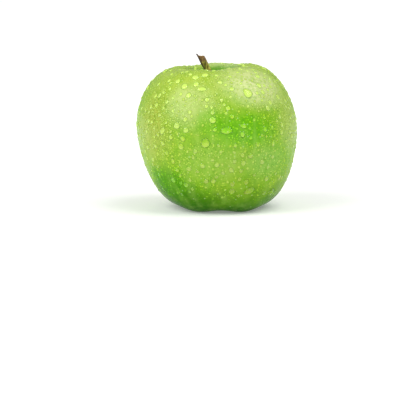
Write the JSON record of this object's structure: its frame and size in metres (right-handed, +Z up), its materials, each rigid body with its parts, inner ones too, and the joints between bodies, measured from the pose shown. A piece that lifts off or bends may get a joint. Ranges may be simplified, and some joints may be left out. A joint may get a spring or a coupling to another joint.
{
  "type": "green apple",
  "caption": "Whole green apple with a bare woody stem, standing on the lobes round a basin that holds the dried sepals, stamens and styles of its flower.",
  "frame": {"origin": "on the surface that the apple stands on, under the middle of its outline seen from above", "axes": "+Z up along the core, stem end up; the stem leans towards -X and the higher shoulder is on the +X side; the front faces -Y"},
  "size_m": [0.0782, 0.0772, 0.0746],
  "materials": {
    "green_skin": "gloss",
    "stem_bark": "matte",
    "dried_flower": "matte"
  },
  "bodies": {
    "root": {"fruit": "green_skin", "stem": "stem_bark", "sepal_1": "dried_flower", "sepal_2": "dried_flower", "sepal_3": "dried_flower", "sepal_4": "dried_flower", "sepal_5": "dried_flower", "stamens": "dried_flower", "styles": "dried_flower"}
  },
  "joints": []
}
